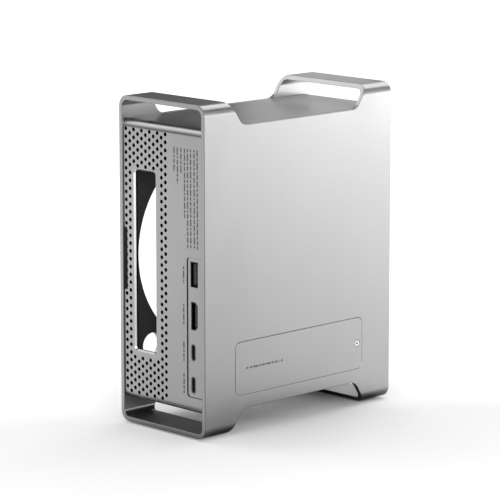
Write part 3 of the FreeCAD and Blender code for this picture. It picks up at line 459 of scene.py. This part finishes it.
INK_SUNK = 0.05
INK_PROUD = 0.012
WORDS = (3.2, 1.8, 4.0, 1.2, 2.6, 3.4, 1.6, 2.2)
WORD_GAP = 0.7
BLOCK_TOP = 156.9
BLOCK_THICK = 0.95
BLOCK_LINES = (  # x of each upright line on the panel and the height of its lower end
    (27.1, 104.0), (24.7, 103.7), (22.0, 103.4), (19.6, 103.0),
    (17.3, 119.8), (14.6, 143.5), (11.8, 137.4), (9.2, 143.5))
LABEL_X = 16.3
LABEL_THICK = 1.0
LABEL_ENDS = ((93.6, 84.0), (73.0, 61.1), (52.5, 42.0), (35.3, 24.2))  # one beside each socket
DOOR_LINE_Z = 36.0
DOOR_LINE_ENDS = (-38.4, -16.0)
DOOR_LINE_THICK = 1.05
ARROW_GAP = 0.8
ARROW_LENGTH = 1.7
ARROW_HALF = 0.95


def printed_line(mesh, start, end, thick, face, first):
    """A line of print as thin ink on a face.

    start and end are the middle of the line's ends; face is the outward normal; first is the
    word that the line starts with.
    """
    start = Vector(start)
    end = Vector(end)
    face = Vector(face)
    along = (end - start).normalized()
    across = along.cross(face) * thick / 2
    length = (end - start).length
    at = 0.0
    word = first
    while at < length:
        stop = min(at + WORDS[word % len(WORDS)], length)
        one = start + along * at - across - face * INK_SUNK
        other = start + along * stop + across + face * INK_PROUD
        add_block(mesh, [min(pair) * MM for pair in zip(one, other)],
                  [max(pair) * MM for pair in zip(one, other)])
        at = stop + WORD_GAP
        word += 1


def printed_arrow(mesh, tip, base, face):
    """A small solid triangle; tip and base are the ends of its middle line."""
    tip = Vector(tip)
    base = Vector(base)
    face = Vector(face)
    side = (tip - base).normalized().cross(face) * ARROW_HALF
    corners = (tip, base + side, base - side)
    under = [mesh.verts.new((corner - face * INK_SUNK) * MM) for corner in corners]
    over = [mesh.verts.new((corner + face * INK_PROUD) * MM) for corner in corners]
    mesh.faces.new(over)
    mesh.faces.new(reversed(under))
    for index in range(3):
        after = (index + 1) % 3
        mesh.faces.new((under[index], under[after], over[after], over[index]))
    bmesh.ops.recalc_face_normals(mesh, faces=mesh.faces)


def panel_print():
    """A block of upright lines beside the perforations and a short line at each socket."""
    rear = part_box("inner_shell")[0].y / MM
    face = (0.0, -1.0, 0.0)
    mesh = bmesh.new()
    for index, (x, low) in enumerate(BLOCK_LINES):
        printed_line(mesh, (x, rear, BLOCK_TOP), (x, rear, low), BLOCK_THICK, face, index * 3)
    for index, (high, low) in enumerate(LABEL_ENDS):
        printed_line(mesh, (LABEL_X, rear, high), (LABEL_X, rear, low), LABEL_THICK, face,
                     index * 2 + 1)
    add_piece("panel_print", mesh, print_ink, "chassis")


def door_print():
    """A line on the door with an arrow at each end, both pointing at it."""
    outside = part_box("drive_door")[1].x / MM
    face = (1.0, 0.0, 0.0)
    rear, front = DOOR_LINE_ENDS
    mesh = bmesh.new()
    printed_line(mesh, (outside, rear, DOOR_LINE_Z), (outside, front, DOOR_LINE_Z),
                 DOOR_LINE_THICK, face, 1)
    for end, outward in ((rear, -1), (front, 1)):
        tip = end + outward * ARROW_GAP
        base = tip + outward * ARROW_LENGTH
        printed_arrow(mesh, (outside, tip, DOOR_LINE_Z), (outside, base, DOOR_LINE_Z), face)
    add_piece("door_print", mesh, print_ink, "door")


panel_print()
door_print()


# Stage, light and camera, in metres and degrees

FLOOR_HALF = 8.0
FLOOR_COLOUR = (0.4, 0.4, 0.4)
BEHIND_SKEW = 0.7  # share of y in what counts as behind the object
WORLD_LEVEL = 0.11
LAMP_AWAY = 1.2
STRIP_AWAY = 0.5
AIM_HEIGHT = 0.09
LEVEL_UP_TO = 25  # lamps up to this elevation face the object level
LAMPS = (  # name, azimuth, elevation, width, height, level
    ("right_low", 15, 9.5, 0.80, 0.38, 3.2),
    ("wall_low", 60, 4.6, 0.75, 0.18, 3.3),
    ("wall_high", 60, 14, 0.75, 0.22, 1.9),
    ("wall_top", 57, 30, 0.85, 0.35, 0.5),
    ("front_low", 90, 9.5, 0.50, 0.38, 0.2),
    ("front_high", 90, 48, 0.70, 0.50, 1.8),
    ("edge_low", 117, 12, 0.30, 0.48, 0.9),
    ("edge_mid", 117, 30, 0.30, 0.35, 1.3),
    ("back_high", 135, 60, 0.70, 0.50, 0.9),
    ("left_mid", 205, 28, 0.70, 0.35, 1.1),
    ("left_high", 208, 48, 0.70, 0.50, 1.55),
    ("left_top", 180, 65, 0.60, 0.40, 0.4),
    ("camera_side", 315, 25, 1.30, 0.80, 2.7),
    ("top", 0, 89.9, 1.0, 1.0, 0.5),
)
CAMERA_PLACE = (1.10973, -1.08874, 0.38637)
CAMERA_AZIMUTH = 45.694  # from straight behind the rear panel towards the door
CAMERA_ELEVATION = 10.768
CAMERA_LENS = 206.2  # millimetres, as the sensor is
CAMERA_SENSOR = 36.0
CAMERA_NEAR = 0.05
CAMERA_FAR = 60.0


def floor_look():
    """A matt floor with a glow, with painted shadow and painted reflection.

    The camera sees it white and lifted with distance, with painted shadow near and under the
    object; metal mirrors a painted reflection that starts a little way off. Each ramp maps metres
    on the floor to a level, 1 being white, or to a share.
    """
    look = Finish("floor", FLOOR_COLOUR)
    look.tree.nodes.remove(look.shader)
    path = look.add("ShaderNodeLightPath").outputs
    seen = path["Is Camera Ray"]
    mirrored = look.math("MAXIMUM", path["Is Glossy Ray"], path["Is Transmission Ray"])

    # Distances from the middle, away from the camera, towards it, and outside the footprint
    spot = look.parts(look.place)
    away = look.vector("LENGTH", "Value", look.place)
    behind = look.math("SUBTRACT", look.product(spot["Y"], BEHIND_SKEW), spot["X"])
    ahead = look.math("SUBTRACT", spot["X"], spot["Y"])
    outside = [look.math("SUBTRACT", look.math("ABSOLUTE", spot[axis]), cad_box[1][axis])
               for axis in (0, 1)]
    beside = look.math("MAXIMUM", *outside)

    # Painted shadow: to all but the camera the floor is grey, and darker still beside and under the
    # feet.
    grey = look.mix(look.ramp(beside, 0.001, 0.008, 0.0, 1.0), look.shade(0.2), look.shade(1.0))
    matt = look.add("ShaderNodeBsdfDiffuse", {"Color": look.mix(seen, grey, WHITE)})

    # Glow to the camera, low near the object and lower under the body: a painted shadow.
    lift = look.total(look.ramp(away, 0.02, 0.10, 0.06, 0.24),
                      look.ramp(behind, -0.02, 0.03, 0.0, 0.13),
                      look.ramp(away, 0.10, 0.22, 0.0, 0.06),
                      look.ramp(away, 0.22, 1.5, 0.0, 0.66))
    under = look.product(look.ramp(beside, -0.006, 0.002, 1.0, 0.0),
                         look.ramp(spot["Y"], 0.006, 0.048, 0.0, 0.95))
    lift = look.product(lift, look.math("SUBTRACT", 1.0, under), seen)

    # Glow to the metal: a painted reflection, none close to the feet, with painted lighter and darker
    # bands along y and a fade towards the camera.
    painted_reflection = look.total(look.ramp(away, 0.07, 0.11, 0.0, 0.64),
                       look.ramp(away, 0.11, 0.7, 0.0, 0.36),
                       look.ramp(spot["Y"], 0.27, 0.39, 0.0, 0.13),
                       look.ramp(spot["Y"], 0.42, 0.68, 0.0, -0.33))
    fade = look.total(look.ramp(ahead, -0.03, 0.36, 1.1, 0.0),
                      look.ramp(ahead, 0.42, 0.7, 0.0, 0.6))
    painted_reflection = look.product(painted_reflection, fade, mirrored)

    glow = look.add("ShaderNodeEmission", {"Strength": look.total(lift, painted_reflection)})
    both = look.add("ShaderNodeAddShader", {0: matt.outputs[0], 1: glow.outputs[0]})
    look.feed(look.tree.nodes["Material Output"].inputs["Surface"], both.outputs[0])
    return look


def stage_floor():
    """A pale floor, with painted shadow and painted reflection in its look."""
    mesh = bmesh.new()
    bmesh.ops.create_grid(mesh, x_segments=1, y_segments=1, size=FLOOR_HALF)
    data = bpy.data.meshes.new("floor")
    mesh.to_mesh(data)
    mesh.free()
    data.materials.append(floor_look().material)
    floor = bpy.data.objects.new("floor", data)
    scene.collection.objects.link(floor)


def softbox(name, azimuth, elevation, width, height, level, away=LAMP_AWAY):
    """A studio lamp facing the object; level is how bright its face is, 1 being white."""
    turn = math.radians(azimuth)
    rise = math.radians(elevation)
    place = away * Vector((math.cos(turn) * math.cos(rise), math.sin(turn) * math.cos(rise),
                           math.sin(rise)))
    aim = Vector((0.0, 0.0, place.z if elevation <= LEVEL_UP_TO else AIM_HEIGHT))
    lamp = bpy.data.lights.new(name, "AREA")
    lamp.shape = "RECTANGLE"
    lamp.size = width
    lamp.size_y = height
    lamp.energy = level * math.pi * width * height
    holder = bpy.data.objects.new(name, lamp)
    holder.location = place
    holder.rotation_euler = (aim - place).to_track_quat("-Z", "Y").to_euler()
    holder.visible_camera = False
    scene.collection.objects.link(holder)


def studio_world():
    """A dim even light from all round."""
    world = bpy.data.worlds.new("studio")
    world.use_nodes = True
    back = world.node_tree.nodes["Background"]
    back.inputs["Color"].default_value = WHITE
    back.inputs["Strength"].default_value = WORLD_LEVEL
    scene.world = world


def photo_camera():
    """The photograph's long lens, above and to the right of the rear panel."""
    azimuth = math.radians(CAMERA_AZIMUTH)
    elevation = math.radians(CAMERA_ELEVATION)
    right = Vector((math.cos(azimuth), math.sin(azimuth), 0.0))
    back = Vector((math.sin(azimuth) * math.cos(elevation),
                   -math.cos(azimuth) * math.cos(elevation), math.sin(elevation)))
    up = back.cross(right)
    lens = bpy.data.cameras.new("camera")
    lens.sensor_width = CAMERA_SENSOR
    lens.lens = CAMERA_LENS
    lens.clip_start = CAMERA_NEAR
    lens.clip_end = CAMERA_FAR
    camera = bpy.data.objects.new("camera", lens)
    turn = Matrix((right, up, back)).transposed().to_4x4()
    camera.matrix_world = Matrix.Translation(CAMERA_PLACE) @ turn
    scene.collection.objects.link(camera)
    scene.camera = camera


scene.view_settings.view_transform = "Standard"
stage_floor()
studio_world()
for lamp in LAMPS:
    softbox(*lamp)
softbox("strip", 131, 22, 0.10, 0.30, 0.60, away=STRIP_AWAY)
photo_camera()
